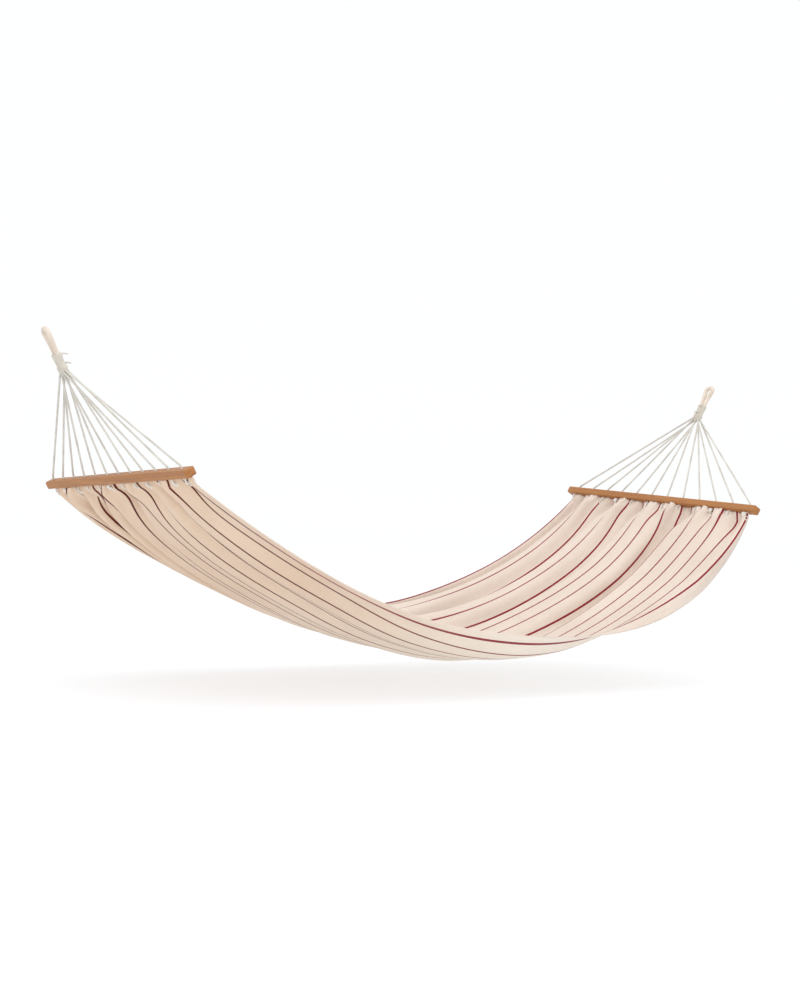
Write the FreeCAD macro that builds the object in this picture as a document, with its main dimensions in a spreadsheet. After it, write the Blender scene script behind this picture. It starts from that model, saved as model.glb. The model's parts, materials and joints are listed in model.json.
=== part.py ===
"""Spreader-bar hammock: striped cloth bed, two wooden bars, two fans of twelve cords, two eye loops.

Frame: millimetres, +Z up.  The origin is the seat of the left eye loop, where its hook bears.
+X runs to the right eye loop, +Y across the bed.  Both throats, where the cords of a fan meet,
lie on one line along X, and each end of the hammock turns about that line.
"""
import FreeCAD, Part
import math
import os
import Sketcher
from FreeCAD import Placement, Rotation, Vector

X_AXIS = Vector(1, 0, 0)
Y_AXIS = Vector(0, 1, 0)
Z_AXIS = Vector(0, 0, 1)
SIDES = ("left", "right")

DRAWN = 10.0         # size a sketch is first drawn at, before its formulas set it
NEAR = 0.01          # lengths closer than this are the same
ARC_SHARE = 0.45     # share of the shorter run that a smooth arc's tangent takes
CORD_ROWS = 3        # the cords leave a throat in this many rows
BED_SECTIONS = 11    # that each half of the bed is lofted through

DIMENSIONS = (
    ("throat_span", 1964.0),      # from throat to throat
    ("fan_length", 282.0),        # throat to the middle of the bar, along the pull
    ("fan_slope", 61.7),          # of the pull, above the level
    ("left_tilt", -2.2),          # turn of the left bar about the throat line, at rest
    ("right_tilt", 3.2),          # turn of the right bar
    ("bed_curl", 2.0),            # extra turn of the bed halfway between its middle and a bar
    ("bar_length", 800.0),
    ("bar_depth", 26.0),          # square to the fan
    ("bar_height", 20.0),         # along the pull
    ("bar_rounding", 4.0),
    ("bar_bevel", 4.0),           # at the two ends
    ("hole_diameter", 7.0),
    ("hole_chamfer", 0.8),
    ("cord_count", 12.0),
    ("cord_pitch", 67.0),
    ("cord_diameter", 5.0),
    ("cord_start", 14.5),         # from the throat to the first free part of a cord
    ("cord_row_gap", 5.4),        # between the rows of cords at the throat
    ("cord_bend_radius", 8.0),
    ("cord_bend_rise", 4.5),      # height of the bend above the bar
    ("eye_length", 92.0),         # seat to throat
    ("eye_radius", 8.0),          # inside the top of the loop
    ("eye_leg", 12.0),            # thickness of the served rope
    ("eye_leg_gap", 0.4),         # between the two legs at the whipping
    ("eye_knee", 14.0),           # straight run of each leg above the whipping
    ("collar_length", 36.0),      # throat to the top of the whipping
    ("collar_radius", 12.8),
    ("collar_waist", 10.5),
    ("throat_radius", 13.0),
    ("knot_diameter", 10.0),
    ("knot_length", 8.0),
    ("knot_rounding", 2.5),
    ("hem_height", 10.0),
    ("hem_depth", 7.0),
    ("hem_rounding", 2.1),
    ("bed_width", 790.0),
    ("bed_sag", 312.0),           # of the long edges, below the hems
    ("bed_cup", 88.0),            # of the middle, below the long edges
    ("bed_cup_power", 0.6),
    ("bed_least_cup", 0.5),       # left at a hem, where the section is all but flat
    ("bed_end_gap", 2.5),         # from the last section of the bed to its hem
    ("left_sag_power", 2.0),      # how the curve of the long edges steepens to each end
    ("right_sag_power", 2.7),
    ("bed_thickness", 4.0),
    ("bed_split", 0.6),           # between the half of the bed that rides each bar
)

doc = FreeCAD.newDocument("hammock")
sheet = doc.addObject("Spreadsheet::Sheet", "Sheet")
for row, (alias, value) in enumerate(DIMENSIONS, start=1):
    sheet.set(f"A{row}", alias)
    sheet.set(f"B{row}", str(value))
    sheet.setAlias(f"B{row}", alias)
doc.recompute()


def dim(alias):
    """A driving dimension, read from the sheet."""
    return float(sheet.get(alias))


def bind(obj, **formulas):
    """Bind each named size of an object to a formula over the sheet."""
    for name, formula in formulas.items():
        obj.setExpression(name, formula)


def unit(vector):
    return Vector(vector).normalize()


# ---------------------------------------------------------------- places


def throat(side):
    """The point where the cords of one fan meet, on the line that both ends turn about."""
    slope = math.radians(dim("fan_slope"))
    reach = dim("eye_length") * math.cos(slope)
    fall = dim("eye_length") * math.sin(slope)
    along = reach if side == "left" else reach + dim("throat_span")
    return Vector(along, 0, -fall)


def lean(side):
    """Turn about Y that lays +Z of an end along its pull, from the bar to the eye loop."""
    angle = 90.0 - dim("fan_slope")
    return Rotation(Y_AXIS, -angle if side == "left" else angle)


def held(side):
    """Frame of the eye loop and its whipping: origin at the throat, +Z to the seat."""
    return Placement(throat(side), lean(side))


def hung(side):
    """The same frame turned with the bar: everything below the throat is made in it."""
    return Placement(throat(side), Rotation(X_AXIS, dim(side + "_tilt")) * lean(side))


def label(obj, name, place):
    obj.Label = name
    obj.Placement = place
    return obj


# ---------------------------------------------------------------- building blocks


def plane(body, role):
    return next(item for item in body.Origin.OriginFeatures if item.Role == role)


def sketch_on(body, role, name):
    sketch = body.newObject("Sketcher::SketchObject", name)
    sketch.AttachmentSupport = [(plane(body, role), "")]
    sketch.MapMode = "FlatFace"
    return sketch


def centred_rectangle(sketch, width, height):
    """A rectangle about the sketch's origin, its sides bound to two formulas."""
    corners = [Vector(-1, -1, 0), Vector(1, -1, 0), Vector(1, 1, 0), Vector(-1, 1, 0)]
    for start, end in zip(corners, corners[1:] + corners[:1]):
        sketch.addGeometry(Part.LineSegment(start * DRAWN / 2, end * DRAWN / 2), False)
    for line in range(4):
        sketch.addConstraint(Sketcher.Constraint("Coincident", line, 2, (line + 1) % 4, 1))
    sketch.addConstraint(Sketcher.Constraint("Horizontal", 0))
    sketch.addConstraint(Sketcher.Constraint("Horizontal", 2))
    sketch.addConstraint(Sketcher.Constraint("Vertical", 1))
    sketch.addConstraint(Sketcher.Constraint("Vertical", 3))
    sketch.addConstraint(Sketcher.Constraint("Symmetric", 0, 1, 2, 1, -1, 1))
    wide = sketch.addConstraint(Sketcher.Constraint("DistanceX", 0, 1, 0, 2, DRAWN))
    high = sketch.addConstraint(Sketcher.Constraint("DistanceY", 1, 1, 1, 2, DRAWN))
    sketch.setExpression(f"Constraints[{wide}]", width)
    sketch.setExpression(f"Constraints[{high}]", height)


def edges(shape, wanted):
    """Names of the edges for which wanted(edge) holds."""
    return [f"Edge{i}" for i, edge in enumerate(shape.Edges, start=1) if wanted(edge)]


def rounded_path(points, radii):
    """Straight runs through the points, joined by tangent arcs of the given radii."""
    parts = []
    here = points[0]
    for before, corner, after, radius in zip(points, points[1:], points[2:], radii):
        into = unit(corner - before)
        out = unit(after - corner)
        turn = into.getAngle(out)
        reach = radius * math.tan(turn / 2)
        start = corner - into * reach
        end = corner + out * reach
        bisector = unit(out - into)
        middle = corner + bisector * (radius / math.cos(turn / 2) - radius)
        parts.append(Part.LineSegment(here, start).toShape())
        parts.append(Part.Arc(start, middle, end).toShape())
        here = end
    parts.append(Part.LineSegment(here, points[-1]).toShape())
    return Part.Wire(parts)


def swept_rod(name, wire, diameter, place):
    """A round rod along a wire, its section bound to a diameter of the sheet."""
    path = doc.addObject("Part::Feature", name + "_path")
    path.Shape = wire
    section = doc.addObject("Part::Circle", name + "_section")
    bind(section, Radius=f"Sheet.{diameter} / 2")
    start = wire.Edges[0]
    tangent = start.tangentAt(start.FirstParameter)
    section.Placement = Placement(start.valueAt(start.FirstParameter), Rotation(Z_AXIS, tangent))
    rod = doc.addObject("Part::Sweep", name)
    rod.Sections = [section]
    rod.Spine = (path, [f"Edge{i + 1}" for i in range(len(wire.Edges))])
    rod.Solid = True
    rod.Frenet = False
    return label(rod, name, place)


# ---------------------------------------------------------------- bars


def spreader_bar(side):
    """Wooden bar: rounded along its length, bevelled at its ends, drilled for every cord."""
    body = doc.addObject("PartDesign::Body", side + "_bar_body")
    section = sketch_on(body, "XZ_Plane", side + "_bar_section")
    centred_rectangle(section, "Sheet.bar_depth", "Sheet.bar_height")
    length = body.newObject("PartDesign::Pad", side + "_bar_pad")
    length.Profile = section
    length.SideType = "Symmetric"
    bind(length, Length="Sheet.bar_length")
    doc.recompute()

    half = dim("bar_length") / 2
    rounding = body.newObject("PartDesign::Fillet", side + "_bar_rounding")
    rounding.Base = (length, edges(length.Shape, lambda e: e.Length > half))
    bind(rounding, Radius="Sheet.bar_rounding")
    doc.recompute()

    bevel = body.newObject("PartDesign::Chamfer", side + "_bar_bevel")
    ends = edges(rounding.Shape, lambda e: abs(abs(e.CenterOfMass.y) - half) < NEAR)
    bevel.Base = (rounding, ends)
    bind(bevel, Size="Sheet.bar_bevel")
    doc.recompute()

    mark = sketch_on(body, "XY_Plane", side + "_bar_hole_mark")
    mark.addGeometry(Part.Circle(Vector(0, -DRAWN, 0), Z_AXIS, DRAWN / 4), False)
    mark.addConstraint(Sketcher.Constraint("PointOnObject", 0, 3, -2))
    across = mark.addConstraint(Sketcher.Constraint("Diameter", 0, DRAWN / 2))
    first = mark.addConstraint(Sketcher.Constraint("DistanceY", 0, 3, -1, 1, DRAWN))
    mark.setExpression(f"Constraints[{across}]", "Sheet.hole_diameter")
    mark.setExpression(f"Constraints[{first}]", "Sheet.cord_pitch * (Sheet.cord_count - 1) / 2")
    hole = body.newObject("PartDesign::Pocket", side + "_bar_hole")
    hole.Profile = mark
    hole.Type = "ThroughAll"
    hole.SideType = "Symmetric"
    doc.recompute()

    row = body.newObject("PartDesign::LinearPattern", side + "_bar_holes")
    row.Originals = [hole]
    row.Direction = (plane(body, "Y_Axis"), [""])
    bind(row, Length="Sheet.cord_pitch * (Sheet.cord_count - 1)", Occurrences="Sheet.cord_count")
    body.Tip = row
    doc.recompute()

    mouths = body.newObject("PartDesign::Chamfer", side + "_bar_hole_mouths")
    bore = dim("hole_diameter") / 2
    mouths.Base = (row, edges(row.Shape, lambda e: is_circle(e, bore)))
    bind(mouths, Size="Sheet.hole_chamfer")
    body.Tip = mouths
    doc.recompute()
    place = hung(side).multiply(Placement(Vector(0, 0, -dim("fan_length")), Rotation()))
    return label(body, side + "_spreader_bar", place)


def is_circle(edge, radius):
    curve = edge.Curve
    return isinstance(curve, Part.Circle) and abs(curve.Radius - radius) < NEAR


# ---------------------------------------------------------------- cords


def cord_offset(number):
    """Place of a cord's hole along the bar, from the bar's middle."""
    return (number - (dim("cord_count") + 1) / 2) * dim("cord_pitch")


def cord(side, number):
    """One cord: straight from the throat, bent at its hole, through the bar to its knot."""
    across = cord_offset(number)
    bar_top = -dim("fan_length") + dim("bar_height") / 2
    bar_foot = bar_top - dim("bar_height")
    bend = Vector(0, across, bar_top + dim("cord_bend_rise"))
    row = number % CORD_ROWS - (CORD_ROWS - 1) / 2
    start = unit(bend) * dim("cord_start") + X_AXIS * (row * dim("cord_row_gap"))
    foot = Vector(0, across, bar_foot)
    radius = dim("cord_bend_radius")
    wire = rounded_path([start, bend, foot], [radius])
    name = f"{side}_cord_{number:02d}"
    print(f"{name}: {wire.Length:.0f} mm long, bend radius {radius:.1f} mm")
    return swept_rod(name, wire, "cord_diameter", hung(side))


# ---------------------------------------------------------------- eye loops and whippings


def eye_loop(side):
    """Served rope bent round the hook, its two legs meeting at the top of the whipping."""
    leg = dim("eye_leg") / 2
    bend = dim("eye_radius") + leg
    centre = dim("eye_length") - dim("eye_radius")
    beside = leg + dim("eye_leg_gap") / 2
    foot = dim("collar_length")
    knee = foot + dim("eye_knee")
    rise = centre - knee
    away = math.hypot(beside, rise)
    flare = math.asin(bend / away) - math.atan2(beside, rise)
    touch_y = bend * math.cos(flare)
    touch_z = centre + bend * math.sin(flare)
    knee_radius = dim("eye_knee") * ARC_SHARE / math.tan(flare / 2)
    leg_points = [Vector(0, -beside, foot), Vector(0, -beside, knee), Vector(0, -touch_y, touch_z)]
    near = rounded_path(leg_points, [knee_radius])
    far = near.mirror(Vector(), Y_AXIS)
    top = Part.Arc(
        Vector(0, -touch_y, touch_z), Vector(0, 0, centre + bend), Vector(0, touch_y, touch_z)
    ).toShape()
    wire = Part.Wire(Part.__sortEdges__(near.Edges + [top] + far.Edges))
    print(f"{side}_eye_loop: {wire.Length:.0f} mm long, radii {bend:.1f} and {knee_radius:.1f} mm")
    return swept_rod(side + "_eye_loop", wire, "eye_leg", held(side))


def whipping(side):
    """Waisted collar of wound twine, ending in a ball about the throat, where the fan turns."""
    body = doc.addObject("PartDesign::Body", side + "_whipping_body")
    outline = sketch_on(body, "XZ_Plane", side + "_whipping_outline")
    ball = dim("throat_radius")
    waist = dim("collar_waist")
    meet = math.sqrt(ball**2 - waist**2)
    top = dim("collar_length")
    head = dim("collar_radius")
    axis = outline.addGeometry(Part.LineSegment(Vector(0, -ball, 0), Vector(0, top, 0)), False)
    lid = outline.addGeometry(Part.LineSegment(Vector(0, top, 0), Vector(head, top, 0)), False)
    flank = outline.addGeometry(
        Part.LineSegment(Vector(head, top, 0), Vector(waist, meet, 0)), False
    )
    about = Part.Circle(Vector(), Z_AXIS, ball)
    round_end = outline.addGeometry(
        Part.ArcOfCircle(about, -math.pi / 2, math.atan2(meet, waist)), False
    )
    for pair in (
        (axis, 2, lid, 1),
        (lid, 2, flank, 1),
        (flank, 2, round_end, 2),
        (round_end, 1, axis, 1),
        (round_end, 3, -1, 1),
    ):
        outline.addConstraint(Sketcher.Constraint("Coincident", *pair))
    outline.addConstraint(Sketcher.Constraint("PointOnObject", axis, 2, -2))
    outline.addConstraint(Sketcher.Constraint("PointOnObject", axis, 1, -2))
    outline.addConstraint(Sketcher.Constraint("Horizontal", lid))
    sizes = (
        (Sketcher.Constraint("Radius", round_end, ball), "Sheet.throat_radius"),
        (Sketcher.Constraint("DistanceY", -1, 1, axis, 2, top), "Sheet.collar_length"),
        (Sketcher.Constraint("DistanceX", lid, 1, lid, 2, head), "Sheet.collar_radius"),
        (Sketcher.Constraint("DistanceX", -1, 1, flank, 2, waist), "Sheet.collar_waist"),
    )
    for constraint, formula in sizes:
        index = outline.addConstraint(constraint)
        outline.setExpression(f"Constraints[{index}]", formula)
    turned = body.newObject("PartDesign::Revolution", side + "_whipping_turned")
    turned.Profile = outline
    turned.ReferenceAxis = (outline, ["V_Axis"])
    turned.Angle = 360
    return label(body, side + "_whipping", held(side))


# ---------------------------------------------------------------- knots and hems


def knots(side):
    """The stopper knots of one bar, between its underside and the hem: one solid a cord."""
    made = []
    foot = dim("fan_length") + dim("bar_height") / 2 + dim("knot_length")
    for number in range(1, int(dim("cord_count")) + 1):
        core = doc.addObject("Part::Cylinder", f"{side}_knot_core_{number:02d}")
        bind(core, Radius="Sheet.knot_diameter / 2", Height="Sheet.knot_length")
        core.Placement.Base = Vector(0, cord_offset(number), -foot)
        knot = doc.addObject("Part::Fillet", f"{side}_knot_{number:02d}")
        knot.Base = core
        doc.recompute()
        rims = [i for i, edge in enumerate(core.Shape.Edges, start=1) if edge.Closed]
        knot.Edges = [(rim, dim("knot_rounding"), dim("knot_rounding")) for rim in rims]
        made.append(knot)
    group = doc.addObject("Part::Compound", side + "_knots_group")
    group.Links = made
    return label(group, side + "_cord_knots", hung(side))


def hem_top():
    """Height of the top of the hem in an end's own frame."""
    return -dim("fan_length") - dim("bar_height") / 2 - dim("knot_length")


def hem(side):
    """The folded end of the cloth, a rounded strip that hangs from the knots."""
    strip = doc.addObject("Part::Box", side + "_hem_strip")
    bind(strip, Length="Sheet.hem_depth", Width="Sheet.bed_width", Height="Sheet.hem_height")
    foot = hem_top() - dim("hem_height")
    strip.Placement.Base = Vector(-dim("hem_depth") / 2, -dim("bed_width") / 2, foot)
    doc.recompute()
    rounded = doc.addObject("Part::Fillet", side + "_hem_rounded")
    rounded.Base = strip
    width = dim("bed_width")
    radius = dim("hem_rounding")
    picked = [i for i, e in enumerate(strip.Shape.Edges, start=1) if abs(e.Length - width) < NEAR]
    rounded.Edges = [(i, radius, radius) for i in picked]
    return label(rounded, side + "_hem", hung(side))


# ---------------------------------------------------------------- bed


def bed_reach():
    """Half the level distance between the two ends of the bed."""
    slope = math.radians(dim("fan_slope"))
    down = dim("fan_length") + dim("bar_height") / 2 + dim("knot_length") + dim("hem_height")
    return dim("throat_span") / 2 - down * math.cos(slope), -down * math.sin(slope)


def bed_tilt(share):
    """Turn of the bed about the throat line, share running from -1 at left to 1 at right."""
    middle = (dim("left_tilt") + dim("right_tilt")) / 2
    spread = (dim("right_tilt") - dim("left_tilt")) / 2
    return middle + spread * share + dim("bed_curl") * math.sin(math.pi * share)


def bed_heights(share):
    """Heights of the long edges and of the middle of the bed below the throat line."""
    _, end = bed_reach()
    span = dim("right_sag_power") - dim("left_sag_power")
    power = dim("left_sag_power") + span * (share + 1) / 2
    edge = end - dim("bed_sag") * (1 - abs(share) ** power)
    cup = dim("bed_cup") * (1 - share * share) ** dim("bed_cup_power")
    return edge, edge - cup


def bed_section(share, along):
    """Closed section of the cloth across the bed: two arcs, or a flat strip at a hem."""
    half = dim("bed_width") / 2
    edge, middle = bed_heights(share)
    middle = min(middle, edge - dim("bed_least_cup"))
    thick = dim("bed_thickness")
    low = [Vector(along, -half, edge), Vector(along, 0, middle), Vector(along, half, edge)]
    high = [point + Z_AXIS * thick for point in low]
    outline = [
        Part.Arc(*low).toShape(),
        Part.LineSegment(low[2], high[2]).toShape(),
        Part.Arc(high[2], high[1], high[0]).toShape(),
        Part.LineSegment(high[0], low[0]).toShape(),
    ]
    wire = Part.Wire(outline)
    wire.rotate(Vector(), X_AXIS, bed_tilt(share))
    wire.translate(throat("left") + X_AXIS * (dim("throat_span") / 2))
    return wire


def bed_half(side):
    """Half of the bed, lofted through sections from its hem to the middle."""
    sign = -1 if side == "left" else 1
    reach, _ = bed_reach()
    inner = dim("bed_split") / 2 / reach
    outer = 1 - dim("bed_end_gap") / reach
    sections = []
    for step in range(BED_SECTIONS):
        quarter_turn = step / (BED_SECTIONS - 1) * math.pi / 2
        share = sign * (inner + (outer - inner) * math.sin(quarter_turn))
        wire = doc.addObject("Part::Feature", f"{side}_bed_section_{step:02d}")
        wire.Shape = bed_section(share, share * reach)
        sections.append(wire)
    half = doc.addObject("Part::Loft", side + "_bed_loft")
    half.Sections = sections
    half.Solid = True
    half.Ruled = False
    return label(half, side + "_bed_cloth", Placement())


# ---------------------------------------------------------------- assembly


def check(nodes):
    """Stop on any failed object and on any sub-part without a sound shape."""
    failed = [o.Name for o in doc.Objects if "Invalid" in o.State or "Error" in o.State]
    if failed:
        raise RuntimeError(f"these objects failed to compute: {failed}")
    for node in nodes:
        if node.Shape.isNull() or not node.Shape.isValid():
            raise RuntimeError(f"{node.Label} has no sound shape")
        if not node.Shape.Solids or node.Shape.Volume <= 0:
            raise RuntimeError(f"{node.Label} is not solid")


nodes = []
for side in SIDES:
    nodes.append(eye_loop(side))
    nodes.append(whipping(side))
    nodes += [cord(side, number) for number in range(1, int(dim("cord_count")) + 1)]
    nodes.append(spreader_bar(side))
    nodes.append(knots(side))
    nodes.append(hem(side))
    nodes.append(bed_half(side))
doc.recompute()
check(nodes)

os.makedirs("parts", exist_ok=True)
for node in nodes:
    node.Shape.exportStep(f"parts/{node.Label}.step")
    size = node.Shape.BoundBox
    print(f"{node.Label}: {node.Shape.Volume:.0f} mm3, {size.XLength:.0f} x {size.YLength:.0f} x "
          f"{size.ZLength:.0f}, {len(node.Shape.Solids)} solid(s)")
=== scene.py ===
import json
import math
import random

import bpy
import numpy as np
from mathutils import Matrix, Vector


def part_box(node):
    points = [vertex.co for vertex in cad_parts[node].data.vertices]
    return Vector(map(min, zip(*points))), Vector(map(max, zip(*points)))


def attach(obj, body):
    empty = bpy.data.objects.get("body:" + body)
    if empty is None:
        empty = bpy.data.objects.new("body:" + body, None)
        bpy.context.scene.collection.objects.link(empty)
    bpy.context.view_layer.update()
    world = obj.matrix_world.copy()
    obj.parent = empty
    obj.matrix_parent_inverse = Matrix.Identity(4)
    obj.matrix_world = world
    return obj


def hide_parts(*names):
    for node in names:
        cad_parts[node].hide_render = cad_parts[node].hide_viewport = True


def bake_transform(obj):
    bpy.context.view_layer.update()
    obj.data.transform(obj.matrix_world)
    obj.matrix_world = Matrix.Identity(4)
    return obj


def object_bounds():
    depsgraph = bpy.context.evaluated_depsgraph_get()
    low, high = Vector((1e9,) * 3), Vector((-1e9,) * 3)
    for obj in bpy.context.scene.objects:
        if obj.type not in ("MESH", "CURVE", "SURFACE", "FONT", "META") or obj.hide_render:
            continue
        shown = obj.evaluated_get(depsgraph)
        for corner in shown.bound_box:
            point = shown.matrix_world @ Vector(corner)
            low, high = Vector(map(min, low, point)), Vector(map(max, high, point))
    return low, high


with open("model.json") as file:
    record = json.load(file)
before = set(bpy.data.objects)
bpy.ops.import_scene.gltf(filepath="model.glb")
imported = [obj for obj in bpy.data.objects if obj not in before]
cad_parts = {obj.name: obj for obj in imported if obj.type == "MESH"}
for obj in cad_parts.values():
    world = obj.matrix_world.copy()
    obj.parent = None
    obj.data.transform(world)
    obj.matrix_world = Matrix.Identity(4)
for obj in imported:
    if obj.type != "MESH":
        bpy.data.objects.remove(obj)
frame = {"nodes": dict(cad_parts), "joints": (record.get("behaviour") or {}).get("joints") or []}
CAD_LOW, CAD_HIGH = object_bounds()
SIDES = ("left", "right")

# ---- sizes, in metres

JOINTS = {joint["name"]: joint for joint in frame["joints"]}
THROAT = {
    "left": Vector(JOINTS["swing"]["pos_m"]),
    "right": Vector(JOINTS["twist"]["pos_m"]),
}
BODY = {side: side + "_end" for side in SIDES}

BAR_HEIGHT = 0.020
CORD_COUNT = 12
CORD_PITCH = 0.067
CORD_DIAMETER = 0.005
CORD_LAY = 0.021
CORD_ROWS = 3                # that the cords start in, side by side in the collar
CORD_ROW_GAP = 0.0054
CORD_START = 0.0100          # from the throat
MOUTH_RISE = 0.0045          # of a cord's bend above the bar
MOUTH_REACH = 0.018          # from there to the cord's straight part
KNOT_LENGTH = 0.008
EYE_LENGTH = 0.092
EYE_RADIUS = 0.008           # of the hook's seat
EYE_LEG = 0.012              # diameter of the eye's rope
COLLAR_LENGTH = 0.036
COLLAR_LIP = 0.004           # of the collar's end that is rounded
THROAT_RADIUS = 0.013

CLOTH_WIDTH = 1.000
CLOTH_THICKNESS = 0.0011
BED_SAG = 0.312              # of the bed's middle below the feet of its hems
SAG_POWER = {"left": 2.0, "right": 2.7}
BED_CURL = math.radians(2.0)


# ---- places

class End:
    """One end of the hammock: the frame of its fan, with +Z up the pull and +Y along the bar."""

    def __init__(self, side):
        low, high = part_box(side + "_spreader_bar")
        bar = (Vector(low) + Vector(high)) / 2
        throat = THROAT[side]
        away = bar - throat
        self.side = side
        self.sign = -1 if side == "left" else 1
        self.fan = away.length
        self.tilt = math.atan2(away.y, -away.z)
        self.throat = throat
        self.hung = self.matrix(self.tilt, away)
        self.held = self.matrix(0, Matrix.Rotation(-self.tilt, 3, "X") @ away)
        self.bar_foot = -self.fan - BAR_HEIGHT / 2
        self.hem_top = self.bar_foot - KNOT_LENGTH

    def matrix(self, tilt, away):
        up = -away.normalized()
        along = Vector((0, math.cos(tilt), math.sin(tilt)))
        across = along.cross(up)
        turn = Matrix((across, along, up)).transposed().to_4x4()
        return Matrix.Translation(self.throat) @ turn

    def hole(self, number):
        """Place of a cord's hole along the bar; the cords are numbered from 0."""
        return (number - (CORD_COUNT - 1) / 2) * CORD_PITCH


ENDS = {side: End(side) for side in SIDES}


# ---- mesh building

def mesh_object(name, verts, faces):
    mesh = bpy.data.meshes.new(name)
    mesh.from_pydata([tuple(v) for v in verts], [], [tuple(f) for f in faces])
    mesh.validate()
    mesh.update()
    mesh.shade_smooth()
    obj = bpy.data.objects.new(name, mesh)
    bpy.context.scene.collection.objects.link(obj)
    return obj


class Builder:
    """Collects vertices and faces of several parts into one mesh."""

    def __init__(self):
        self.verts = []
        self.faces = []

    def add(self, verts, faces):
        base = len(self.verts)
        self.verts.extend(Vector(v) for v in verts)
        self.faces.extend(tuple(i + base for i in face) for face in faces)

    def object(self, name):
        return mesh_object(name, self.verts, self.faces)


def spline_points(points, resolution=12):
    """Points of the smooth line through a route's control points."""
    curve = bpy.data.curves.new("route", "CURVE")
    curve.dimensions = "3D"
    curve.resolution_u = resolution
    spline = curve.splines.new("NURBS")
    spline.points.add(len(points) - 1)
    for target, point in zip(spline.points, points):
        target.co = (*point, 1)
    spline.order_u = 3
    spline.use_endpoint_u = True
    obj = bpy.data.objects.new("route", curve)
    mesh = bpy.data.meshes.new_from_object(obj)
    line = [v.co.copy() for v in mesh.vertices]
    bpy.data.objects.remove(obj)
    bpy.data.curves.remove(curve)
    bpy.data.meshes.remove(mesh)
    return line


def distances(path):
    """Distance of each point of a path from its start."""
    runs = np.linalg.norm(np.diff(path, axis=0), axis=1)
    return np.concatenate([[0], np.cumsum(runs)])


def evenly(line, step):
    """The line again, with points one step apart."""
    path = np.array([tuple(p) for p in line])
    along = distances(path)
    count = max(4, int(round(along[-1] / step)) + 1)
    wanted = np.linspace(0, along[-1], count)
    return np.column_stack([np.interp(wanted, along, path[:, k]) for k in range(3)])


def frames_along(path):
    """A pair of unit normals that turn as little as possible along a path."""
    tangents = np.gradient(path, axis=0)
    tangents /= np.linalg.norm(tangents, axis=1)[:, None]
    seed = np.array([1.0, 0, 0]) if abs(tangents[0][0]) < 0.8 else np.array([0, 1.0, 0])
    normal = np.cross(tangents[0], seed)
    normal /= np.linalg.norm(normal)
    first = []
    for tangent in tangents:
        normal = normal - tangent * np.dot(normal, tangent)
        normal /= np.linalg.norm(normal)
        first.append(normal)
    first = np.array(first)
    return first, np.cross(tangents, first)


def ring_faces(rows, sides):
    """Faces between rings of vertices that follow each other."""
    faces = []
    for i in range(rows - 1):
        for j in range(sides):
            k = (j + 1) % sides
            faces.append((i * sides + j, i * sides + k, (i + 1) * sides + k, (i + 1) * sides + j))
    return faces


def tube(path, radius_of, sides):
    """Vertices and faces of a closed tube whose radius depends on length and angle."""
    first, second = frames_along(path)
    along = distances(path)
    angles = np.linspace(0, 2 * math.pi, sides, endpoint=False)
    radius = radius_of(along[:, None], angles[None, :])
    ring = first[:, None, :] * np.cos(angles)[None, :, None]
    ring += second[:, None, :] * np.sin(angles)[None, :, None]
    rings = path[:, None, :] + ring * radius[:, :, None]
    verts = [Vector(p) for p in rings.reshape(-1, 3)]
    faces = ring_faces(len(path), sides)
    start = len(verts)
    verts += [Vector(path[0]), Vector(path[-1])]
    last = (len(path) - 1) * sides
    for j in range(sides):
        k = (j + 1) % sides
        faces += [(start, k, j), (start + 1, last + j, last + k)]
    return verts, faces


ROPE_STRANDS = 3
ROPE_GROOVE = 0.70           # radius in the grooves between strands, as a share
ROPE_SWELL = 0.34            # that the middle of a strand stands out by
STRAND_ARC = 0.92            # of the half round that shows of a strand, as its square


def laid_rope(diameter, lay, phase=0.0):
    """Radius of a twisted rope: round strands side by side, turning once in each lay."""

    def radius(along, angle):
        turn = angle - 2 * math.pi * along / lay + phase
        within = np.abs(((turn * ROPE_STRANDS / (2 * math.pi)) % 1.0) - 0.5) * 2
        strand = np.sqrt(np.clip(1 - within**2 * STRAND_ARC, 0, 1))
        return diameter / 2 * (ROPE_GROOVE + ROPE_SWELL * strand)

    return radius


TWINE_DEPTH = 0.00035        # of the grooves between turns of fine twine


def served(diameter, pitch, depth=TWINE_DEPTH):
    """Radius of a rope wound tightly with twine: a fine ridge that climbs as it goes round."""

    def radius(along, angle):
        phase = along / pitch - angle / (2 * math.pi)
        within = np.abs((phase % 1.0) - 0.5) * 2
        return diameter / 2 - depth + depth * np.sqrt(np.clip(1 - within**2, 0, 1))

    return radius


def finish_piece(obj, body, material, slot, *nodes):
    """Gives a piece its material, and says what it rides on and stands for.  Its slot is not used.
    """
    obj.data.materials.clear()
    obj.data.materials.append(material)
    if body:
        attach(obj, body)
    if nodes:
        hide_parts(*nodes)
    return obj


# ---- materials

MIX_FACTOR, MIX_A, MIX_B, MIX_OUT = 0, 6, 7, 2      # sockets of a Mix node that mixes colours


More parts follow.
